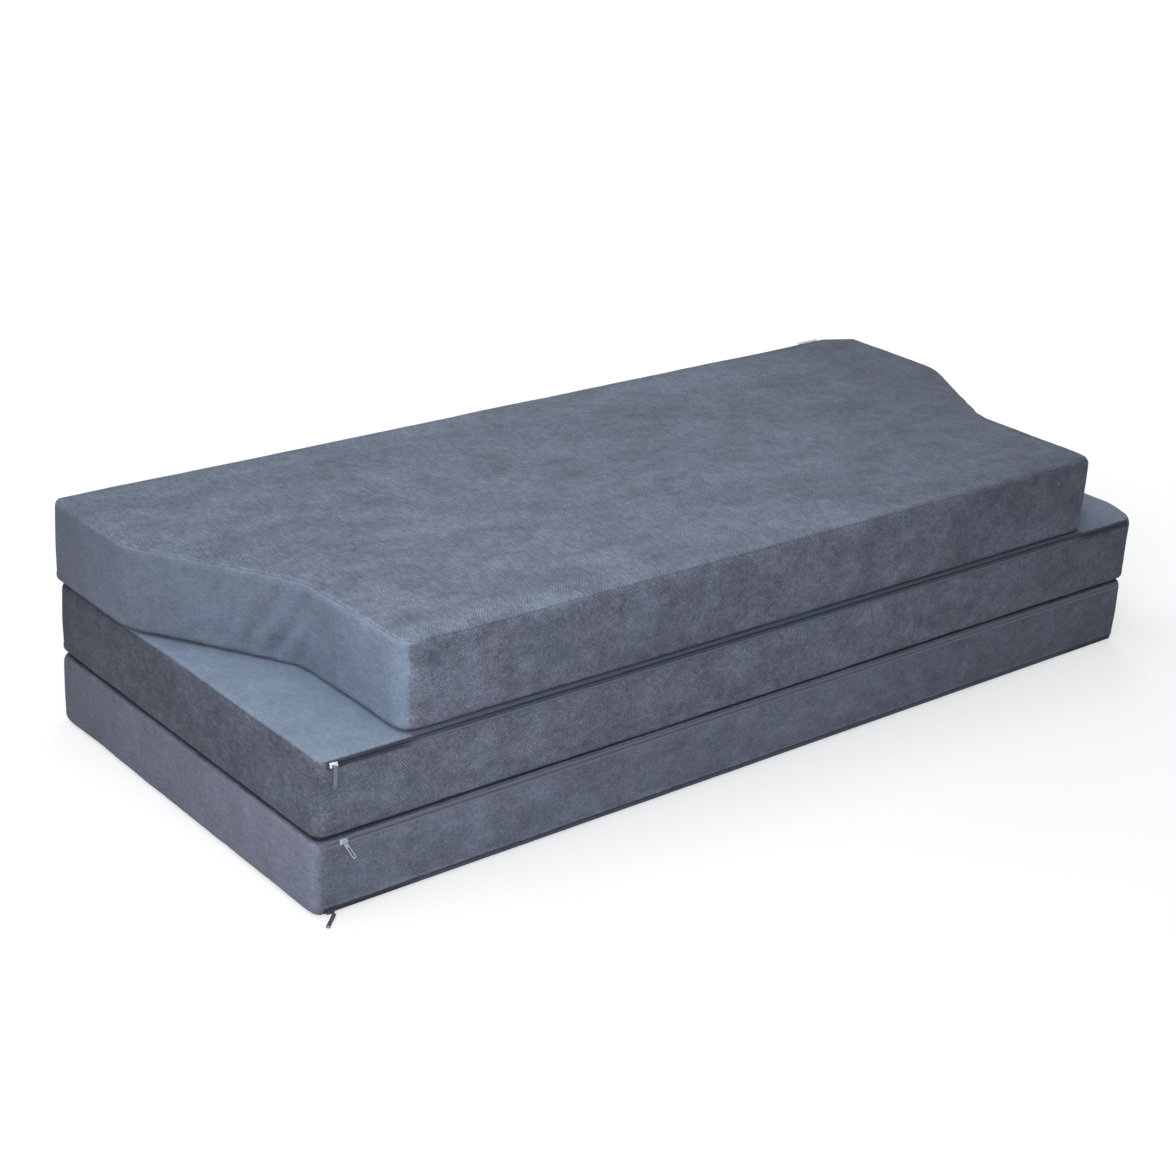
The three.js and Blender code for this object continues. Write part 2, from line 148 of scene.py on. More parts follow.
# The covers are sewn from a grey-blue polyester suede with fine diagonal ribs. Its short pile lies
# this way and that, which leaves cloudy lighter and darker places. The underside panels are the same.
def new_group(name, takes, gives):
    group = bpy.data.node_groups.new(name, "ShaderNodeTree")
    for label, kind, value in takes:
        socket = group.interface.new_socket(label, in_out="INPUT", socket_type=kind)
        socket.default_value = value
    for label, kind in gives:
        group.interface.new_socket(label, in_out="OUTPUT", socket_type=kind)
    return group, add_node(group, "NodeGroupInput"), add_node(group, "NodeGroupOutput")


def noise_node(tree, vector, scale, detail=4.0, roughness=0.5):
    made = add_node(tree, "ShaderNodeTexNoise")
    put_in(made, Scale=scale, Detail=detail, Roughness=roughness)
    tree.links.new(vector, made.inputs["Vector"])
    return made.outputs["Fac"]


def spread(tree, value, low, high, to_low, to_high):
    made = add_node(tree, "ShaderNodeMapRange")
    made.inputs["From Min"].default_value = low
    made.inputs["From Max"].default_value = high
    made.inputs["To Min"].default_value = to_low
    made.inputs["To Max"].default_value = to_high
    tree.links.new(value, made.inputs["Value"])
    return made.outputs[0]


def times(tree, first, second, operation="MULTIPLY"):
    made = add_node(tree, "ShaderNodeMath", operation=operation)
    for socket, value in zip(made.inputs, (first, second)):
        if isinstance(value, (int, float)):
            socket.default_value = value
        else:
            tree.links.new(value, socket)
    return made.outputs[0]


def blend_colour(tree, factor, first, second, mode="MIX"):
    made = add_node(tree, "ShaderNodeMix", data_type="RGBA", blend_type=mode, clamp_factor=False)
    for socket, value in ((made.inputs[0], factor), (made.inputs[6], first), (made.inputs[7], second)):
        if isinstance(value, (int, float, tuple)):
            socket.default_value = value
        else:
            tree.links.new(value, socket)
    return made.outputs[2]


suede, taken, given = new_group(
    "suede pile",
    [
        ("Colour", "NodeSocketColor", (0.2, 0.22, 0.27, 1)),
        ("Warm Colour", "NodeSocketColor", (0.2, 0.2, 0.23, 1)),
        ("Tone", "NodeSocketFloat", 1.0),
        ("Warmth", "NodeSocketFloat", 0.5),
        ("Ribs", "NodeSocketFloat", 1.0),
        ("Clouds", "NodeSocketFloat", 1.0),
    ],
    [("Colour", "NodeSocketColor"), ("Roughness", "NodeSocketFloat"), ("Height", "NodeSocketFloat")],
)
place = add_node(suede, "ShaderNodeTexCoord").outputs["Object"]
lengthwise = add_node(suede, "ShaderNodeMapping")
lengthwise.inputs["Scale"].default_value = (0.45, 1, 1)
suede.links.new(place, lengthwise.inputs["Vector"])
streaks = noise_node(suede, lengthwise.outputs[0], 5, 6, 0.95)
mottle = noise_node(suede, place, 16, 5, 0.95)
hue_clouds = noise_node(suede, place, 13, 4, 0.6)
flecks = noise_node(suede, place, 420, 2, 0.8)
brushed = add_node(suede, "ShaderNodeMapping")
brushed.inputs["Rotation"].default_value = (0, math.radians(35.3), math.radians(-45))
brushed.inputs["Scale"].default_value = (1, 0.22, 1)
suede.links.new(place, brushed.inputs["Vector"])
brushed_flecks = noise_node(suede, brushed.outputs[0], 330, 3, 0.7)
diagonal = add_node(suede, "ShaderNodeVectorMath", operation="DOT_PRODUCT")
diagonal.inputs[1].default_value = (1, -1, 1)
suede.links.new(place, diagonal.inputs[0])
ribs_per_metre = 236
sway = spread(suede, noise_node(suede, place, 70, 3, 0.6), 0.3, 0.7, -1.2 * mm, 1.2 * mm)
phase = times(suede, times(suede, diagonal.outputs["Value"], sway, "ADD"), 2 * math.pi * ribs_per_metre)
rib_wave = spread(suede, times(suede, phase, 0, "SINE"), -1, 1, 0, 1)
rib_patches = spread(suede, noise_node(suede, place, 34, 4, 0.7), 0.4, 0.62, 0.1, 1)
rib_strength = times(suede, times(suede, rib_patches, taken.outputs["Ribs"]), taken.outputs["Clouds"])
tone = taken.outputs["Tone"]
patterns = ((streaks, 0.15, 0.16), (mottle, 0.15, 0.18), (brushed_flecks, 0.15, 0.14), (flecks, 0.2, 0.13))
for pattern, reach, swing in patterns:
    swung = spread(suede, pattern, 0.5 - reach, 0.5 + reach, -swing, swing)
    shift = times(suede, swung, taken.outputs["Clouds"])
    tone = times(suede, tone, times(suede, shift, 1, "ADD"))
rib_tone = times(suede, spread(suede, rib_wave, 0, 1, -0.18, 0.18), rib_strength)
tone = times(suede, tone, times(suede, rib_tone, 1, "ADD"))
hue_shift = spread(suede, hue_clouds, 0.35, 0.65, -0.22, 0.22)
warmth = times(suede, hue_shift, taken.outputs["Warmth"], "ADD")
tinted = blend_colour(suede, warmth, taken.outputs["Colour"], taken.outputs["Warm Colour"])
toned = add_node(suede, "ShaderNodeVectorMath", operation="SCALE")
suede.links.new(tinted, toned.inputs[0])
suede.links.new(tone, toned.inputs["Scale"])
suede.links.new(toned.outputs[0], given.inputs["Colour"])
suede.links.new(spread(suede, mottle, 0.35, 0.65, 0.82, 0.95), given.inputs["Roughness"])
rib_height = times(suede, rib_wave, rib_strength)
pile_height = times(suede, spread(suede, flecks, 0, 1, 0, 0.35), rib_height, "ADD")
pile_height = times(suede, pile_height, spread(suede, brushed_flecks, 0, 1, 0, 0.7), "ADD")
suede.links.new(pile_height, given.inputs["Height"])


def suede_material(name, colour, warm, ribs):
    material = bpy.data.materials.new(name)
    material.use_nodes = True
    tree = material.node_tree
    shader = tree.nodes["Principled BSDF"]
    put_in(shader, Specular_IOR_Level=0.15, Sheen_Weight=0.07, Sheen_Roughness=0.55)
    shader.inputs["Sheen Tint"].default_value = (0.8, 0.88, 1, 1)
    pile = add_node(tree, "ShaderNodeGroup", node_tree=suede)
    put_in(pile, Colour=colour, Warm_Colour=warm, Ribs=ribs)
    # The tone from the cover's vertices holds the lie of the pile together with painted light and shade.
    tone_and_painted_light = add_node(tree, "ShaderNodeAttribute", attribute_name="pile_tone_and_painted_light")
    tree.links.new(tone_and_painted_light.outputs["Fac"], pile.inputs["Tone"])
    shade = add_node(tree, "ShaderNodeAttribute", attribute_name="pile_warmth")
    tree.links.new(shade.outputs["Fac"], pile.inputs["Warmth"])
    cloudy = add_node(tree, "ShaderNodeAttribute", attribute_name="pile_clouds")
    tree.links.new(cloudy.outputs["Fac"], pile.inputs["Clouds"])
    bump = add_node(tree, "ShaderNodeBump")
    put_in(bump, Strength=0.35, Distance=0.0006)
    tree.links.new(pile.outputs["Height"], bump.inputs["Height"])
    tree.links.new(pile.outputs["Colour"], shader.inputs["Base Color"])
    tree.links.new(pile.outputs["Roughness"], shader.inputs["Roughness"])
    tree.links.new(bump.outputs[0], shader.inputs["Normal"])
    return material


cover_suede = suede_material("cover suede", (0.163, 0.195, 0.256, 1), (0.177, 0.179, 0.235, 1), 1)


# Each section is a block of foam in a cover of a top panel, a border and a bottom panel. The foam
# pushes the cloth out between the seams, and the top section is cut narrower in front with an S-bend.
half_length = 750 * mm
half_depth = 315 * mm
rounding = 10 * mm
corner_radius = 14 * mm
narrow_corner_radius = 28 * mm
top_half_length = 756 * mm
top_half_narrow = 629 * mm
bend_from = -110 * mm
bend_to = 140 * mm
bend_rounding = 0.15
side_bulge = 1.5 * mm
cell = 12 * mm
stack = {
    "base": dict(floor=0.0, height=105 * mm, rise=3 * mm),
    "middle": dict(floor=105.3 * mm, height=105 * mm, rise=3 * mm),
    "top": dict(floor=210.6 * mm, height=120 * mm, rise=4 * mm),
}


def half_width(name, y):
    if name != "top":
        return half_length
    share = min(max((y - bend_from) / (bend_to - bend_from), 0), 1)
    near_end = min(share, 1 - share)
    if near_end < bend_rounding:
        across = near_end ** 2 / (2 * bend_rounding * (1 - bend_rounding))
    else:
        across = (near_end - bend_rounding / 2) / (1 - bend_rounding)
    if share > 0.5:
        across = 1 - across
    return top_half_narrow + (top_half_length - top_half_narrow) * across


def crown_at(name, spot):
    u = min(abs(spot.x) / (half_width(name, spot.y) - rounding), 1)
    v = min(abs(spot.y) / (half_depth - rounding), 1)
    return stack[name]["rise"] * (1 - u ** 8) * (1 - v ** 4)


def cut(form, point, normal, faces=None):
    """Cuts the form, or only some faces of it, along a plane, and gives those faces back, cut."""
    if faces is None:
        around = form.verts[:] + form.edges[:] + form.faces[:]
    else:
        # Both keep the order in which they are found, because a set's order differs from run to run.
        edges = dict.fromkeys(edge for face in faces for edge in face.edges)
        verts = dict.fromkeys(vert for face in faces for vert in face.verts)
        around = list(verts) + list(edges) + faces
    done = bmesh.ops.bisect_plane(form, geom=around, plane_co=point, plane_no=normal, dist=1e-6)
    return [item for item in done["geom"] if isinstance(item, bmesh.types.BMFace)]


def block_form(name):
    part = stack[name]
    half = top_half_length if name == "top" else half_length
    height = part["height"] - part["rise"]
    form = bmesh.new()
    bmesh.ops.create_cube(form, size=1)
    bmesh.ops.scale(form, verts=form.verts[:], vec=(2 * half, 2 * half_depth, height))
    bmesh.ops.translate(form, verts=form.verts[:], vec=(0, 0, part["floor"] + height / 2))
    front_radius = narrow_corner_radius if name == "top" else corner_radius
    for side, radius in ((-1, front_radius), (1, corner_radius)):
        posts = [
            edge for edge in form.edges
            if abs(edge.verts[0].co.z - edge.verts[1].co.z) > height / 2
            and all(vert.co.y * side > half_depth - 1e-5 for vert in edge.verts)
        ]
        bmesh.ops.bevel(
            form, geom=posts, offset=radius, segments=5, profile=0.5, affect="EDGES", material=-1)
    rims = [edge for edge in form.edges if abs(edge.verts[0].co.z - edge.verts[1].co.z) < 1e-6]
    bmesh.ops.bevel(
        form, geom=rims, offset=rounding, segments=4, profile=0.5, affect="EDGES", material=-1)
    columns = round(2 * half / cell)
    rows = round(2 * half_depth / cell)
    layers = round(height / cell)
    for k in range(1, layers):
        cut(form, (0, 0, part["floor"] + height * k / layers), (0, 0, 1))
    for k in range(1, columns):
        cut(form, (-half + 2 * half * k / columns, 0, 0), (1, 0, 0))
    for k in range(1, rows):
        cut(form, (0, -half_depth + 2 * half_depth * k / rows, 0), (0, 1, 0))
    bmesh.ops.remove_doubles(form, verts=form.verts[:], dist=0.4 * mm)
    for vert in form.verts:
        across = half_width(name, vert.co.y)
        vert.co.x *= across / half
        if vert.co.z > part["floor"] + height - 0.5 * mm:
            vert.co.z += crown_at(name, vert.co)
        else:
            lift = (vert.co.z - part["floor"]) / height
            outward = Vector((0, 0, 0))
            if abs(vert.co.y) > half_depth - 1 * mm:
                outward.y = math.copysign(1, vert.co.y)
            if abs(vert.co.x) > across - 1 * mm:
                outward.x = math.copysign(1, vert.co.x)
            vert.co += outward * side_bulge * math.sin(math.pi * lift)
    return form


def mesh_object(name, form):
    mesh = bpy.data.meshes.new(name)
    form.to_mesh(mesh)
    form.free()
    made = bpy.data.objects.new(name, mesh)
    bpy.context.collection.objects.link(made)
    return made


def inflate(piece, floor_height, cap):
    """Blows the cover up a little. The foam in it holds it out, so no part of it moves inwards."""
    resting = piece.vertex_groups.new(name="resting")
    resting.add([v.index for v in piece.data.vertices if v.co.z < floor_height + 0.2 * mm], 1, "REPLACE")
    cloth = piece.modifiers.new("cloth", "CLOTH")
    cloth.settings.quality = 6
    cloth.settings.use_pressure = True
    cloth.settings.uniform_pressure_force = 4
    cloth.settings.effector_weights.gravity = 0
    cloth.settings.vertex_group_mass = "resting"
    cloth.settings.shrink_min = -0.012
    cloth.point_cache.frame_start = 1
    cloth.point_cache.frame_end = 20
    before = [(vert.co.copy(), vert.normal.copy()) for vert in piece.data.vertices]
    for step in range(1, 21):
        bpy.context.scene.frame_set(step)
    puffed = piece.evaluated_get(bpy.context.evaluated_depsgraph_get())
    for vert, (start, outward), end in zip(piece.data.vertices, before, puffed.data.vertices):
        move = end.co - start
        move -= outward * min(move.dot(outward), 0)
        vert.co = start + move * min(1, cap / max(move.length, 1e-9))
    piece.modifiers.remove(cloth)
    piece.vertex_groups.remove(resting)
    bpy.context.scene.frame_set(1)


def smooth_once(piece):
    finer = piece.modifiers.new("finer", "SUBSURF")
    finer.levels = 1
    finer.render_levels = 1
    seen = piece.evaluated_get(bpy.context.evaluated_depsgraph_get())
    mesh = bpy.data.meshes.new_from_object(seen)
    piece.modifiers.remove(finer)
    old = piece.data
    piece.data = mesh
    bpy.data.meshes.remove(old)


# Which way the pile lies differs from panel to panel. Each way a panel can face has its tone, its warmth
# and how cloudy it is, and how these change along it: to the right, or to the back on the sides.
# The tones are partly the pile and partly painted light and shade: each facing is painted lighter or
# darker as the lamps light it, the middle section's top is painted lighter against the shade of the top
# section, and a painted falloff darkens the panels to the right, or to the back on the sides.
pile = {
    "base": dict(
        top=(1.0, 0.2, 1.0), top_painted_falloff=0.12, side=(1.32, 0.8, 0.75), side_painted_falloff=0.36, side_warmer=0.35,
        front=(1.04, 0.6, 1.25), front_painted_falloff=0.38, bend=2.2, start=0.12),
    "middle": dict(
        top=(1.42, -0.3, 0.6), top_painted_falloff=0.08, side=(0.67, 0.65, 1.6), side_painted_falloff=0.28, side_warmer=0,
        front=(0.955, 0.65, 1.6), front_painted_falloff=0.36, bend=4, start=0.25),
    "top": dict(
        top=(1.02, 0.25, 1.35), top_painted_falloff=0.32, side=(1.46, -0.1, 0.7), side_painted_falloff=0.42, side_warmer=0.75,
        front=(0.89, 0.62, 1.6), front_painted_falloff=0.24, bend=3, start=0),
}


def window(value, middle, reach):
    return max(1 - abs(value - middle) / reach, 0)


def pile_at(name, spot, normal):
    lies = pile[name]
    sideways = min(max((abs(normal.x) - 0.5) / 0.3, 0), 1)
    above = min(max((normal.z - 0.45) / 0.4, 0), 1) * (1 - sideways)
    facing = 1 - sideways - above
    rightwards = min(max((spot.x + half_length) / (2 * half_length), 0), 1)
    backwards = min(max((spot.y + half_depth) / (2 * half_depth), 0), 1)
    on_top = lies["top"][0] * (1 - lies["top_painted_falloff"] * rightwards ** 3.5)
    # Painted light: the top section's top is lighter at the front and darker at the back, most at the left
    # end.
    if name == "top":
        on_top *= 1 + 0.2 * (0.5 - backwards) * (1 - rightwards)
    along_front = 1 - lies["front_painted_falloff"] * rightwards ** lies["bend"]
    along_front -= lies["start"] * (1 - rightwards) ** 4
    tone = above * on_top + facing * lies["front"][0] * along_front
    tone += sideways * lies["side"][0] * (1 - lies["side_painted_falloff"] * backwards)
    # A painted highlight lightens the rounded upper edges of the top section's ends, along its side seams.
    if name == "top":
        tone *= 1 + 0.26 * window(normal.z, 0.62, 0.42) * min(abs(normal.x) / 0.4, 1)
    # Painted shadow where two sections meet: the rims of the upper sections' undersides and of the tops
    # they rest on are darkened, on the middle's top only behind the bend, and the base's upper rounding
    # is painted lighter.
    inset = min(half_width(name, spot.y) - abs(spot.x), half_depth - abs(spot.y))
    rim = min(max((14 * mm - inset) / (5 * mm), 0), 1)
    if name != "base":
        tone *= 1 - 0.76 * rim * min(max((-normal.z - 0.72) / 0.12, 0), 1)
    else:
        tone *= 1 + 0.1 * window(normal.z, 0.5, 0.3)
    if name != "top":
        rim *= 1 if name == "base" else min(max((spot.y - bend_to) / (60 * mm), 0), 1)
        tone *= 1 - 0.76 * rim * min(max((normal.z - 0.74) / 0.12, 0), 1)
    warmth = above * lies["top"][1] + facing * lies["front"][1]
    warmth += sideways * (lies["side"][1] + lies["side_warmer"] * backwards ** 3)
    if name == "middle":
        warmth += above * 0.7 * rightwards ** 6
    clouds = above * lies["top"][2] + sideways * lies["side"][2] + facing * lies["front"][2]
    return tone, warmth, clouds


# The four zips run along the edges of the covers. Each lies in a slot of its cover's rounded edge,
# turned a little down or up from the middle of the edge.
zip_half = 736 * mm
coil_half = 733.7 * mm
slot_half_angle = math.atan(4.3 / 8.9)
zip_tilt = math.radians(45) - slot_half_angle
end_slider = -728.2 * mm
gap_slider = -712.2 * mm
# Each zip's last three entries paint light and shade on its cover: the tone of the sunk cloth in the slot
# on its upper and lower side, a darker tone on the lips and a lighter tone just outside them.
zips = {
    "middle_zip": dict(
        section="middle", edge=197.3 * mm, tilt=zip_tilt, turn=0, slider=end_slider,
        groove_shade=(0.25, 1.0), lip=0.95, beside=1.05),
    "base_upper_zip": dict(
        section="base", edge=92 * mm, tilt=zip_tilt, turn=0, slider=gap_slider,
        groove_shade=(1.0, 1.0), lip=1.0, beside=1.0),
    "base_lower_zip": dict(
        section="base", edge=10 * mm, tilt=-zip_tilt, turn=0, slider=end_slider,
        groove_shade=(0.3, 0.3), lip=0.7, beside=1.22),
    "top_zip": dict(
        section="top", edge=220.6 * mm, tilt=-zip_tilt, turn=math.pi, slider=end_slider,
        groove_shade=(0.3, 0.3), lip=0.7, beside=1.22),
}


# The top section covers the middle zip this far to each side. Its ends lie open and are darker.
covered_half = 620 * mm


def open_slot(form, name):
    """Sinks the cloth under a zip between crisp lips, with painted shade in the slot and on the lips and a
    painted highlight outside them.
    """
    way = -1 if zips[name]["turn"] else 1
    middle = Vector((0, -way * (half_depth - rounding), zips[name]["edge"]))
    tilt = zips[name]["tilt"]

    def polar(spot):
        outward = way * (middle.y - spot.y)
        return math.hypot(outward, spot.z - middle.z), math.atan2(spot.z - middle.z, outward)

    def near(face):
        radius, angle = polar(face.calc_center_median())
        return 4 * mm < radius < 16 * mm and abs(angle - tilt) < slot_half_angle + 0.9

    strip = [face for face in form.faces if near(face)]
    for turn in (-slot_half_angle, -slot_half_angle + 0.05, slot_half_angle - 0.05, slot_half_angle):
        angle = tilt + turn
        strip = cut(form, middle, (0, way * math.sin(angle), math.cos(angle)), strip)
    for reach in (zip_half + 0.5 * mm, zip_half + 0.1 * mm):
        for end in (-1, 1):
            strip = cut(form, (end * reach, 0, 0), (1, 0, 0), strip)
    tone_and_painted_light = form.verts.layers.float["pile_tone_and_painted_light"]
    for vert in form.verts:
        radius, angle = polar(vert.co)
        if not 4 * mm < radius < 16 * mm or abs(vert.co.x) > zip_half + 0.2 * mm:
            continue
        aside = abs(angle - tilt) - slot_half_angle
        # Painted shade: the sunk cloth takes the tone of its side, the upper one at the open ends of the
        # middle zip, the lips are darkened, more at those ends, and the cloth just outside them is painted
        # lighter.
        uncovered = name == "middle_zip" and abs(vert.co.x) > covered_half
        if aside < -0.04:
            sunk = 8.1 * mm
            vert.co.y = middle.y - way * sunk * math.cos(angle)
            vert.co.z = middle.z + sunk * math.sin(angle)
            vert[tone_and_painted_light] = zips[name]["groove_shade"][0 if angle > tilt or uncovered else 1]
        elif aside < 0.02:
            vert[tone_and_painted_light] *= zips[name]["lip"] * (0.75 if uncovered else 1)
        elif aside < 0.3:
            vert[tone_and_painted_light] *= zips[name]["beside"]


def gathers_at(spot):
    """Where the border of the bend gathers: how strongly, from none to 1."""
    low = min(max((0.33 - spot.z) / 0.09, 0), 1) * min(max((spot.z - 0.21) / 0.02, 0.2), 1)
    return math.exp(-((spot.y + 0.065) / 0.05) ** 2) * (0.2 + 0.8 * low)


def creases_at(spot):
    """The creases between the upright folds of the gathered border."""
    along = spot.y + 0.5 * (spot.z - 0.24) + 0.005 * noise.noise(spot * 20)
    return gathers_at(spot) * (0.5 + 0.5 * math.cos((along + 0.065) * 2 * math.pi / 0.035)) ** 1.5


def fullness_at(name, spot):
    """How far the upper side of a cover stands up where nothing presses it down."""
    part = stack[name]
    rightwards = min(max((spot.x + 0.66) / 1.32, 0), 1)
    backwards = min(max((spot.y + half_depth) / (2 * half_depth), 0), 1)
    if name == "top":
        share = min(max((spot.z - part["floor"] - 0.025) / 0.085, 0), 1)
        in_front = 2 * mm * (1 - rightwards) ** 5 * (1 - backwards)
        from_side = min(max((half_width(name, spot.y) - spot.x) / 0.08, 0.1), 1)
        behind = 10 * mm * rightwards ** 1.2 * min(max((backwards - 0.7) / 0.3, 0), 1) * from_side
        return share * (in_front + behind)
    if name == "middle":
        free = min(max((abs(spot.x) - half_width("top", spot.y) + 0.01) / 0.06, 0), 1)
        share = min(max((spot.z - part["floor"] - 0.09) / 0.014, 0), 1)
        behind_zip = min(max((spot.y + 0.312) / 0.05, 0), 1)
        return (12 * mm if spot.x > 0 else 3 * mm) * free * share * math.sin(behind_zip * math.pi / 2)
    return 0


def dress_section(name):
    part = stack[name]
    ceiling = part["floor"] + part["height"]
    rim = ceiling - part["rise"]
    piece = mesh_object(name + "_cover", block_form(name))
    inflate(piece, part["floor"], 4 * mm)
    smooth_once(piece)
    form = bmesh.new()
    form.from_mesh(piece.data)
    slack = 2 * mm if name == "top" else 0.2 * mm
    for vert in form.verts:
        spot = Vector(vert.co)
        ripple = noise.noise(Vector((spot.x * 7, spot.y * 16, spot.z * 20 + 3)))
        fine = noise.noise(Vector((spot.x * 30, spot.y * 34, spot.z * 26 + 9)))
        vert.co += vert.normal * (0.9 * mm * ripple + 0.35 * mm * fine)
        # The lower edges of the upper sections are pressed and stand out more squarely.
        under = math.asin(min(max(-vert.normal.z, 0), 1))
        if name == "middle" or (name == "top" and vert.normal.y < 0.5):
            vert.co += vert.normal * 1.8 * mm * max(math.sin(2.5 * under), 0)
        if name == "top" and abs(vert.normal.x) > 0.4:
            # The border is a little too long for the hollow of the bend and gathers in upright folds.
            vert.co += vert.normal * 3.6 * mm * (0.65 * gathers_at(spot) - creases_at(spot))
        if name == "top" and vert.normal.z > 0.8:
            # The seam puckers the top panel along its ends.
            from_seam = half_width(name, spot.y) - abs(spot.x)
            pucker = math.exp(-((from_seam - 30 * mm) / (35 * mm)) ** 2)
            height = 0.6 * mm if spot.x < 0 else 0.2 * mm
            wave = math.sin((spot.y + 10 * mm * fine) * 2 * math.pi / (24 * mm))
            vert.co.z += height * pucker * wave
        highest = rim + crown_at(name, spot) + slack if spot.z > rim - 0.5 * mm else rim + slack
        vert.co.z = min(max(vert.co.z, part["floor"]), highest)
        vert.co.y = min(max(vert.co.y, -half_depth - 2 * mm), half_depth + 2 * mm)
    form.normal_update()
    tone_and_painted_light = form.verts.layers.float.new("pile_tone_and_painted_light")
    shade = form.verts.layers.float.new("pile_warmth")
    cloudy = form.verts.layers.float.new("pile_clouds")
    for vert in form.verts:
        vert[tone_and_painted_light], vert[shade], vert[cloudy] = pile_at(name, vert.co, vert.normal)
        # Painted shade darkens the creases between the folds of the gathered border.
        if name == "top" and abs(vert.normal.x) > 0.4:
            vert[tone_and_painted_light] *= 1 - 0.3 * creases_at(vert.co)
    # The seams lie half way round the rims, drawn in by the thread, and painted shade darkens the seam
    # line.
    drop = rounding * (1 - math.sin(math.radians(45)))
    for height in (rim - drop, part["floor"] + drop):
        strip = [face for face in form.faces if abs(face.calc_center_median().z - height) < 9 * mm]
        for shift in (-1.3, 0, 1.3):
            strip = cut(form, (0, 0, height + shift * mm), (0, 0, 1), strip)
        form.normal_update()
        for vert in form.verts:
            if abs(vert.co.z - height) < 1e-5:
                vert.co -= vert.normal * 0.8 * mm
                vert[tone_and_painted_light] *= 0.75
    for zip_name, zip_facts in zips.items():
        if zip_facts["section"] == name:
            open_slot(form, zip_name)
    for vert in form.verts:
        vert.co.z += fullness_at(name, vert.co)
    form.to_mesh(piece.data)
    form.free()
    for face in piece.data.polygons:
        face.use_smooth = True
    piece.data.materials.clear()
    piece.data.materials.append(cover_suede)
    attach(piece, name + "_section")
    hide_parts(name + "_top_panel", name + "_border", name + "_bottom_panel")


for name in stack:
    dress_section(name)


# The foam inside the covers is pale open-cell foam. It stays out of sight unless a cover is opened.
foam = bpy.data.materials.new("open-cell foam")
foam.use_nodes = True
tree = foam.node_tree
shader = tree.nodes["Principled BSDF"]
put_in(shader, Roughness=0.95, Specular_IOR_Level=0.1)
place = add_node(tree, "ShaderNodeTexCoord").outputs["Object"]
cells = add_node(tree, "ShaderNodeTexVoronoi")
put_in(cells, Scale=900)
tree.links.new(place, cells.inputs["Vector"])
yellowed = spread(tree, noise_node(tree, place, 6), 0.3, 0.7, 0, 1)
foam_colour = blend_colour(tree, yellowed, (0.78, 0.7, 0.5, 1), (0.68, 0.56, 0.34, 1))
pitted = spread(tree, cells.outputs["Distance"], 0, 0.6, 0.75, 1)
shaded = add_node(tree, "ShaderNodeVectorMath", operation="SCALE")
tree.links.new(foam_colour, shaded.inputs[0])
tree.links.new(pitted, shaded.inputs["Scale"])
tree.links.new(shaded.outputs[0], shader.inputs["Base Color"])
bump = add_node(tree, "ShaderNodeBump")
put_in(bump, Strength=0.6, Distance=0.0005)
tree.links.new(cells.outputs["Distance"], bump.inputs["Height"])
tree.links.new(bump.outputs[0], shader.inputs["Normal"])
for name in stack:
    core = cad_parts[name + "_foam"]
    core.data.materials.clear()
    core.data.materials.append(foam)


# The zip tapes are woven polyester, darker than the covers. Each tape is sewn under a lip of the
# cover and carries half of the coil on its inner edge.
weave, taken, given = new_group(
    "woven tape",
    [
        ("Colour", "NodeSocketColor", (0.05, 0.06, 0.09, 1)),
        ("Light Colour", "NodeSocketColor", (0.09, 0.11, 0.15, 1)),
        ("Pitch", "NodeSocketFloat", 900.0),
        ("End Shade", "NodeSocketFloat", 1.0),
    ],
    [("Colour", "NodeSocketColor"), ("Roughness", "NodeSocketFloat"), ("Height", "NodeSocketFloat")],
)
place = add_node(weave, "ShaderNodeTexCoord").outputs["Object"]
split = add_node(weave, "ShaderNodeSeparateXYZ")
weave.links.new(place, split.inputs[0])
warp = times(weave, split.outputs["X"], taken.outputs["Pitch"])
weft = times(weave, times(weave, split.outputs["Y"], split.outputs["Z"], "ADD"), taken.outputs["Pitch"])
herringbone = times(weave, times(weave, warp, 6.2832), 0, "SINE")
weft_wave = times(weave, times(weave, weft, 6.2832), 0, "SINE")
crossing = times(weave, herringbone, weft_wave)
threads = spread(weave, crossing, -1, 1, 0, 1)
worn = spread(weave, noise_node(weave, place, 90), 0.35, 0.65, 0, 1)
light = times(weave, times(weave, threads, 0.6), times(weave, worn, 0.4), "ADD")
woven_colour = blend_colour(weave, light, taken.outputs["Colour"], taken.outputs["Light Colour"])
# Towards the ends of a zip its cloth and coil can be darker. End Shade is their tone there.
from_middle = times(weave, split.outputs["X"], 0, "ABSOLUTE")
at_ends = spread(weave, from_middle, covered_half - 20 * mm, covered_half + 15 * mm, 0, 1)
drop = times(weave, times(weave, taken.outputs["End Shade"], 1, "SUBTRACT"), at_ends)
end_toned = add_node(weave, "ShaderNodeVectorMath", operation="SCALE")
weave.links.new(woven_colour, end_toned.inputs[0])
weave.links.new(times(weave, drop, 1, "ADD"), end_toned.inputs["Scale"])
weave.links.new(end_toned.outputs[0], given.inputs["Colour"])
weave.links.new(spread(weave, worn, 0, 1, 0.7, 0.85), given.inputs["Roughness"])
weave.links.new(threads, given.inputs["Height"])


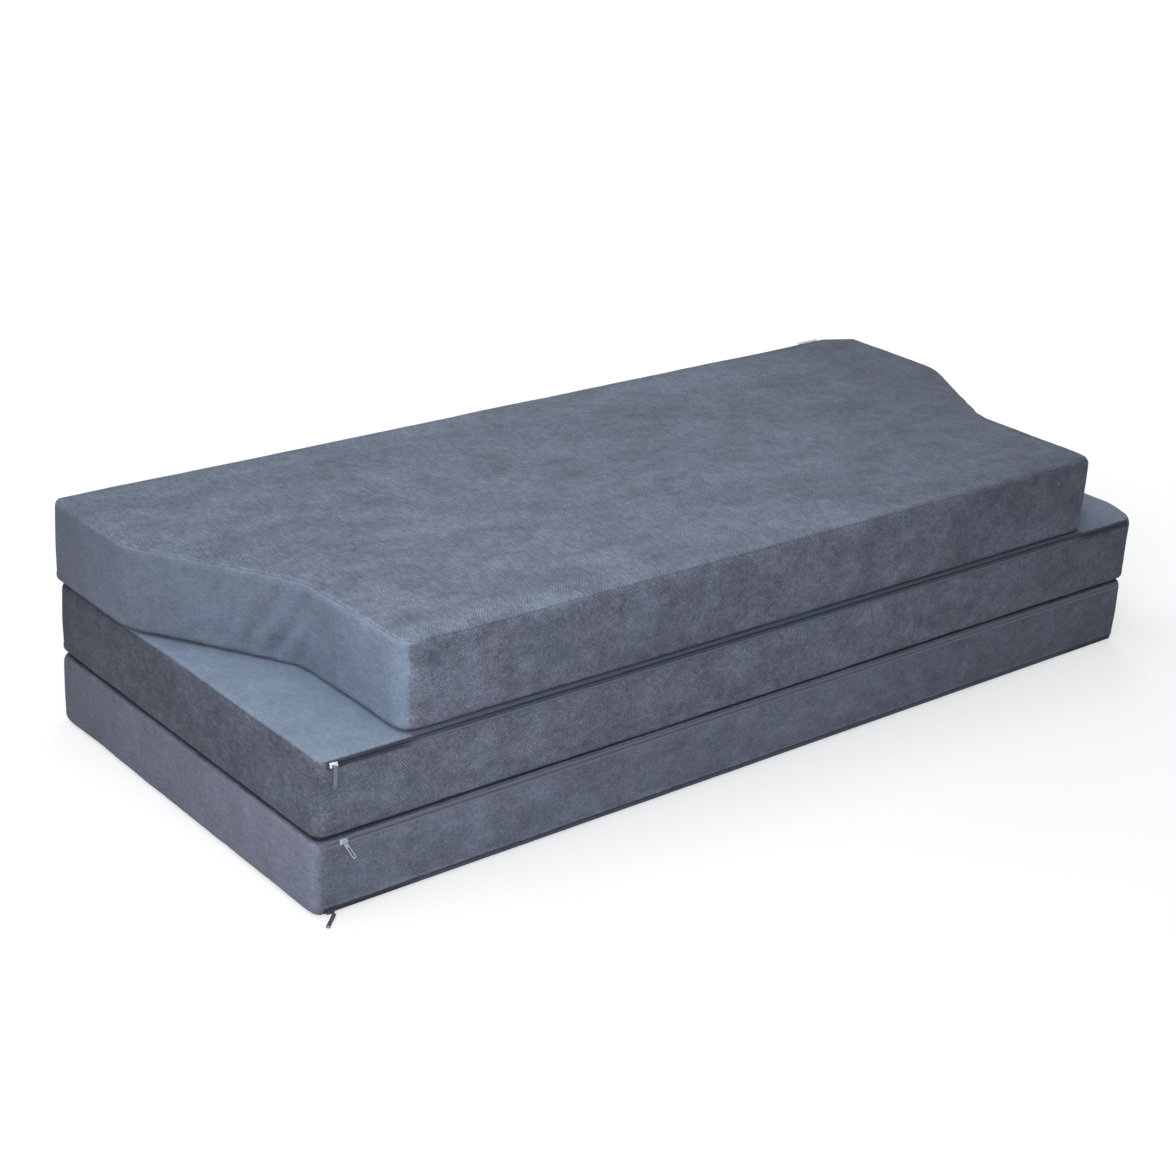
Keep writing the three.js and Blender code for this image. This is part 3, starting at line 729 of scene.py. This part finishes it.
def woven_material(name, colour, light_colour, pitch, sheen, end_shade=1.0):
    material = bpy.data.materials.new(name)
    material.use_nodes = True
    tree = material.node_tree
    shader = tree.nodes["Principled BSDF"]
    put_in(shader, Specular_IOR_Level=0.3, Sheen_Weight=sheen)
    cloth = add_node(tree, "ShaderNodeGroup", node_tree=weave)
    put_in(cloth, Colour=colour, Light_Colour=light_colour, Pitch=pitch, End_Shade=end_shade)
    bump = add_node(tree, "ShaderNodeBump")
    put_in(bump, Strength=0.4, Distance=0.0002)
    tree.links.new(cloth.outputs["Height"], bump.inputs["Height"])
    tree.links.new(cloth.outputs["Colour"], shader.inputs["Base Color"])
    tree.links.new(cloth.outputs["Roughness"], shader.inputs["Roughness"])
    tree.links.new(bump.outputs[0], shader.inputs["Normal"])
    return material


tape_cloth = woven_material("zip tape cloth", (0.04, 0.05, 0.075, 1), (0.065, 0.08, 0.115, 1), 900, 0.1)
coil_plastic = woven_material(
    "zip coil monofilament", (0.095, 0.115, 0.165, 1), (0.14, 0.165, 0.22, 1), 450, 0, 0.45)
grey_tape = woven_material(
    "grey zip tape cloth", (0.12, 0.135, 0.18, 1), (0.16, 0.175, 0.225, 1), 900, 0.1, 0.3)
grey_coil = woven_material("grey zip coil", (0.16, 0.18, 0.235, 1), (0.21, 0.23, 0.29, 1), 450, 0, 0.3)
pale_tape = woven_material("pale zip tape cloth", (0.18, 0.19, 0.25, 1), (0.23, 0.24, 0.31, 1), 900, 0.1)
pale_coil = woven_material("pale zip coil", (0.17, 0.18, 0.235, 1), (0.23, 0.24, 0.31, 1), 450, 0)
dark_pair = (tape_cloth, coil_plastic)
grey_pair = (grey_tape, grey_coil)
pale_pair = (pale_tape, pale_coil)
# The middle zip's upper half has the dark tape and coil and its lower half the grey ones: the darker upper
# half is painted shade under the edge of the top section.
zip_cloths = {
    "middle_zip": (dark_pair, grey_pair),
    "base_upper_zip": (pale_pair, pale_pair),
    "base_lower_zip": (dark_pair, dark_pair),
    "top_zip": (dark_pair, dark_pair),
}


def zip_frame(name):
    facts = zips[name]
    return (
        Matrix.Rotation(facts["turn"], 4, "Z")
        @ Matrix.Translation((0, rounding - half_depth, facts["edge"]))
        @ Matrix.Rotation(math.pi / 2 - facts["tilt"], 4, "X")
    )


def box_into(form, low, high, soften, segments=2):
    """Adds a box with softened edges between two corners, in millimetres."""
    made = bmesh.ops.create_cube(form, size=1)["verts"]
    size = [(b - a) * mm for a, b in zip(low, high)]
    middle = [(a + b) / 2 * mm for a, b in zip(low, high)]
    bmesh.ops.scale(form, verts=made, vec=size)
    bmesh.ops.translate(form, verts=made, vec=middle)
    edges = dict.fromkeys(edge for vert in made for edge in vert.link_edges)
    bmesh.ops.bevel(
        form, geom=list(edges), offset=soften * mm, segments=segments,
        profile=0.5, affect="EDGES", material=-1)


def put_up(name, form, matrix, material, body, *nodes):
    """Makes the finished piece in its place, hangs it on the body it rides on and hides the parts it stands
    for.
    """
    bmesh.ops.transform(form, matrix=matrix, verts=form.verts[:])
    bmesh.ops.recalc_face_normals(form, faces=form.faces[:])
    piece = mesh_object(name, form)
    piece.data.materials.append(material)
    for face in piece.data.polygons:
        face.use_smooth = True
    piece.data.set_sharp_from_angle(angle=math.radians(40))
    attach(piece, body)
    if nodes:
        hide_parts(*nodes)
    return piece


turns_per_group = 27
groups = 28
for name, facts in zips.items():
    body = facts["section"] + "_section"
    for side, way, (cloth, plastic) in zip(("upper", "lower"), (1, -1), zip_cloths[name]):
        form = bmesh.new()
        inner, outer = sorted((way * 0.6, way * 4.0))
        box_into(form, (-zip_half / mm, inner, 8.9), (zip_half / mm, outer, 9.7), 0.25)
        tape = put_up(f"{name}_{side}_tape", form, zip_frame(name), cloth, body, f"{name}_tape_{side}")
        # The coil's turns are sewn side by side on the tape.
        form = bmesh.new()
        turn = bmesh.ops.create_cone(
            form, cap_ends=True, segments=8, radius1=0.62 * mm, radius2=0.62 * mm, depth=1.8 * mm)["verts"]
        bmesh.ops.rotate(form, verts=turn, cent=(0, 0, 0), matrix=Matrix.Rotation(math.pi / 2, 3, "X"))
        bmesh.ops.scale(form, verts=turn, vec=(1, 1, 0.69 / 0.62))
        bmesh.ops.translate(form, verts=turn, vec=(-coil_half + 0.7 * mm, way * 1.5 * mm, 10.7 * mm))
        pitch = (2 * coil_half - 1.4 * mm) / (turns_per_group * groups - 1)
        for step, count in ((pitch, turns_per_group), (turns_per_group * pitch, groups)):
            bmesh.ops.spin(
                form, geom=form.verts[:] + form.edges[:] + form.faces[:], cent=(0, 0, 0), axis=(0, 0, 1),
                dvec=(step, 0, 0), angle=0, steps=count - 1, use_duplicate=True)
        coil = put_up(f"{name}_{side}_coil", form, zip_frame(name), plastic, body, f"{name}_coil_{side}")


# The end stops are small metal clips pressed over both halves of the coil, and the sliders are die
# cast: an outer and an inner plate on a post, flanges that hold the coil and an eye for the pull.
metal, taken, given = new_group(
    "handled metal",
    [
        ("Colour", "NodeSocketColor", (0.7, 0.72, 0.75, 1)),
        ("Worn Colour", "NodeSocketColor", (0.5, 0.52, 0.55, 1)),
        ("Polish", "NodeSocketFloat", 0.2),
    ],
    [("Colour", "NodeSocketColor"), ("Roughness", "NodeSocketFloat"), ("Height", "NodeSocketFloat")],
)
place = add_node(metal, "ShaderNodeTexCoord").outputs["Object"]
rubbed = spread(metal, noise_node(metal, place, 700, 5, 0.65), 0.38, 0.62, 0, 1)
scratched = spread(metal, noise_node(metal, place, 2600, 2, 0.8), 0.4, 0.6, 0, 1)
metal_colour = blend_colour(metal, rubbed, taken.outputs["Colour"], taken.outputs["Worn Colour"])
metal.links.new(metal_colour, given.inputs["Colour"])
dulled = times(metal, rubbed, 0.12)
metal.links.new(times(metal, taken.outputs["Polish"], dulled, "ADD"), given.inputs["Roughness"])
metal.links.new(scratched, given.inputs["Height"])


def metal_material(name, colour, worn_colour, polish, metallic):
    material = bpy.data.materials.new(name)
    material.use_nodes = True
    tree = material.node_tree
    shader = tree.nodes["Principled BSDF"]
    put_in(shader, Metallic=metallic)
    finish = add_node(tree, "ShaderNodeGroup", node_tree=metal)
    put_in(finish, Colour=colour, Worn_Colour=worn_colour, Polish=polish)
    bump = add_node(tree, "ShaderNodeBump")
    put_in(bump, Strength=0.15, Distance=0.0001)
    tree.links.new(finish.outputs["Height"], bump.inputs["Height"])
    tree.links.new(finish.outputs["Colour"], shader.inputs["Base Color"])
    tree.links.new(finish.outputs["Roughness"], shader.inputs["Roughness"])
    tree.links.new(bump.outputs[0], shader.inputs["Normal"])
    return material


nickel = metal_material("polished nickel", (0.86, 0.88, 0.9, 1), (0.7, 0.72, 0.75, 1), 0.16, 1)
dark_metal = metal_material("dark plated metal", (0.06, 0.066, 0.08, 1), (0.12, 0.13, 0.15, 1), 0.34, 1)
blue_paint = metal_material("slate-blue enamel", (0.13, 0.18, 0.26, 1), (0.2, 0.25, 0.33, 1), 0.34, 0)
grey_enamel = metal_material("light grey enamel", (0.42, 0.49, 0.56, 1), (0.55, 0.61, 0.67, 1), 0.3, 0)
dark_enamel = metal_material("dark enamel", (0.05, 0.055, 0.075, 1), (0.12, 0.13, 0.15, 1), 0.36, 0)
cloth_grey_enamel = metal_material(
    "cloth grey enamel", (0.14, 0.15, 0.19, 1), (0.18, 0.19, 0.23, 1), 0.5, 0)
slider_metals = {
    "middle_zip": nickel,
    "base_upper_zip": grey_enamel,
    "base_lower_zip": dark_metal,
    "top_zip": nickel,
}
stop_metals = {
    "middle_zip": dark_metal,
    "base_upper_zip": cloth_grey_enamel,
    "base_lower_zip": dark_metal,
    "top_zip": dark_metal,
}


eye_height = 15.2


def ring_into(form, inner, outer, half_thickness, centre):
    """Adds an eye: a flat ring round the X axis, in millimetres."""
    section = ((-1, inner), (1, inner), (1, outer), (-1, outer))
    corners = [form.verts.new((way * half_thickness * mm, 0, radius * mm)) for way, radius in section]
    outline = form.faces.new(corners)
    edges = outline.edges[:]
    bmesh.ops.delete(form, geom=[outline], context="FACES_ONLY")
    bmesh.ops.spin(
        form, geom=corners + edges, cent=(0, 0, 0), axis=(1, 0, 0), angle=2 * math.pi,
        steps=20, use_merge=True)
    reach = outer * 1.5 * mm
    ring = [vert for vert in form.verts if vert.co.length < reach]
    bmesh.ops.translate(form, verts=ring, vec=[value * mm for value in centre])


for name, facts in zips.items():
    body = facts["section"] + "_section"
    for side, way in (("left", -1), ("right", 1)):
        form = bmesh.new()
        inner, outer = sorted((way * 734.0, way * 736.0))
        box_into(form, (inner, -2.4, 10.0), (outer, 2.4, 11.4), 0.35, 3)
        stop = put_up(
            f"{name}_{side}_stop", form, zip_frame(name), stop_metals[name], body, f"{name}_stop_{side}")
    # The eye and both plates, which narrow to the right, then the flanges, the post and the eye's foot.
    form = bmesh.new()
    ring_into(form, 0.9, 1.6, 0.6, (0, 0, eye_height))
    box_into(form, (-5.5, -3.4, 11.7), (5.5, 3.4, 12.9), 0.5, 3)
    box_into(form, (-5.5, -3.4, 7.6), (5.5, 3.4, 8.6), 0.35, 2)
    for vert in form.verts:
        if vert.co.z < 13 * mm and vert.co.x > 2 * mm:
            vert.co.y *= 0.8
    for way in (-1, 1):
        low, high = sorted((way * 2.75, way * 3.3))
        box_into(form, (-5.2, low, 10.2), (1.8, high, 12.0), 0.15, 2)
    box_into(form, (-5.5, -0.3, 8.2), (-3.1, 0.3, 12.2), 0.1, 1)
    box_into(form, (-0.6, -1.3, 12.6), (0.6, 1.3, 14.2), 0.2, 2)
    bmesh.ops.translate(form, verts=form.verts[:], vec=(facts["slider"], 0, 0))
    runner = f"{name}_slider"
    slider = put_up(f"{name}_runner", form, zip_frame(name), slider_metals[name], runner, runner)


# The pulls hang from the sliders' eyes on a pin between two cheeks. The one at the middle is a flat
# enamelled tab, the one in the gap a slim frame of two bars, and the one at the floor dark with a ring.
def tab_into(form, half_across, length, slot_half, slot_length, root, lean):
    """Adds a flat tab with a round end and a hole or slot in it, in millimetres."""
    loops = []
    for radius, stretch in ((slot_half, slot_length), (half_across, length)):
        circle = bmesh.ops.create_circle(form, segments=24, radius=radius * mm)["verts"]
        bmesh.ops.rotate(form, verts=circle, cent=(0, 0, 0), matrix=Matrix.Rotation(math.pi / 2, 3, "X"))
        upper = [vert for vert in circle if vert.co.z > 1e-7]
        if radius == half_across:
            bmesh.ops.scale(form, verts=upper, vec=(1, 1, 0.3))
        bmesh.ops.translate(form, verts=upper, vec=(0, 0, stretch * mm))
        loops += list(dict.fromkeys(edge for vert in circle for edge in vert.link_edges))
    made = bmesh.ops.bridge_loops(form, edges=loops)["faces"]
    thick = bmesh.ops.extrude_face_region(form, geom=made)["geom"]
    moved = [item for item in thick if isinstance(item, bmesh.types.BMVert)]
    bmesh.ops.translate(form, verts=moved, vec=(0, 1 * mm, 0))
    still_there = [face for face in made if face.is_valid]
    verts = list(dict.fromkeys(vert for face in still_there for vert in face.verts)) + moved
    bmesh.ops.translate(form, verts=verts, vec=(0, -0.5 * mm, -length * mm))
    bmesh.ops.rotate(form, verts=verts, cent=(0, 0, 0), matrix=Matrix.Rotation(-lean, 3, "Y"))
    bmesh.ops.translate(form, verts=verts, vec=(0, -1 * mm, root * mm))


# How far the lowest pull swings out, so that its end lies just above the floor.
floor_swing = math.acos((10 - eye_height * math.sin(zip_tilt) - 0.3) / 30)
pulls = {
    "middle_zip": dict(tab=(2.5, 24.5, 1.2, 0.0), lean=0, swing=0, metal=blue_paint),
    "base_upper_zip": dict(tab=(2.3, 24.5, 1.1, 17.5), lean=31, swing=0, metal=grey_enamel),
    "base_lower_zip": dict(tab=(2.5, 24.5, 1.35, 0.6), lean=-50, swing=floor_swing, metal=dark_enamel),
    "top_zip": dict(tab=(2.5, 24.5, 1.2, 0.0), lean=0, swing=0, metal=blue_paint),
}
for name, facts in pulls.items():
    form = bmesh.new()
    pin = bmesh.ops.create_cone(
        form, cap_ends=True, segments=12, radius1=0.5 * mm, radius2=0.5 * mm, depth=3.4 * mm)["verts"]
    bmesh.ops.rotate(form, verts=pin, cent=(0, 0, 0), matrix=Matrix.Rotation(math.pi / 2, 3, "Y"))
    for way in (-1, 1):
        low, high = sorted((way * 0.9, way * 1.7))
        box_into(form, (low, -1.5, -3.5), (high, 0.5, 0.5), 0.2, 2)
    tab_into(form, *facts["tab"], -3.0, math.radians(facts["lean"]))
    edge = zips[name]
    pivot = zip_frame(name) @ Vector((edge["slider"], 0, eye_height * mm))
    place = (
        Matrix.Translation(pivot)
        @ Matrix.Rotation(edge["turn"], 4, "Z")
        @ Matrix.Rotation(-facts["swing"], 4, "X")
    )
    pull = put_up(f"{name}_tab", form, place, facts["metal"], f"{name}_pull", f"{name}_pull")


# Strips of the cover cloth join the sections: one sewn on the lower section's edge, one under the
# upper one's. They meet at the fold line, which stands a little off the sections' faces.
fold_edge = -319.2
strip_cloth = woven_material("hinge cloth", (0.095, 0.112, 0.16, 1), (0.125, 0.145, 0.2, 1), 420, 0)
hinges = {
    "back_hinge": dict(lower="base", upper="middle", length=1464, turn=math.pi),
    "front_hinge": dict(lower="middle", upper="top", length=1236, turn=0),
}
for name, facts in hinges.items():
    part = stack[facts["lower"]]
    seat = (part["floor"] + part["height"] - part["rise"]) / mm + 0.3
    face = (part["floor"] + part["height"]) / mm
    half = facts["length"] / 2
    turned = Matrix.Rotation(facts["turn"], 4, "Z")
    form = bmesh.new()
    outline = [
        (fold_edge, face - 0.6), (-306, face - 0.6), (-306, seat),
        (-304, seat), (-304, face), (fold_edge, face),
    ]
    profile = form.faces.new([form.verts.new((-half * mm, y * mm, z * mm)) for y, z in outline])
    grown = bmesh.ops.extrude_face_region(form, geom=[profile])["geom"]
    end = [item for item in grown if isinstance(item, bmesh.types.BMVert)]
    bmesh.ops.translate(form, verts=end, vec=(2 * half * mm, 0, 0))
    bmesh.ops.bevel(
        form, geom=form.edges[:], offset=0.15 * mm, segments=2, profile=0.5, affect="EDGES", material=-1)
    leaf = put_up(
        f"{name}_lower_strip", form, turned, strip_cloth, facts["lower"] + "_section", f"{name}_lower_leaf")
    form = bmesh.new()
    box_into(form, (-half, fold_edge, face + 0.3), (half, -309.15, face + 0.9), 0.15, 2)
    leaf = put_up(
        f"{name}_upper_strip", form, turned, strip_cloth, facts["upper"] + "_section", f"{name}_upper_leaf")


# A small white care label, blank, is caught in the top section's back seam and stands up from it.
label_cloth = woven_material("label satin", (0.92, 0.92, 0.92, 1), (0.98, 0.98, 0.98, 1), 1500, 0.2)
form = bmesh.new()
box_into(form, (-23, -0.3, 10.3), (23, 0.3, 17.3), 0.12, 2)
label_middle = (645 * mm, half_depth - rounding, 324 * mm)
place = (
    Matrix.Translation(label_middle)
    @ Matrix.Rotation(-math.radians(45), 4, "X")
)
label = put_up("blank_label", form, place, label_cloth, "top_section", "care_label")
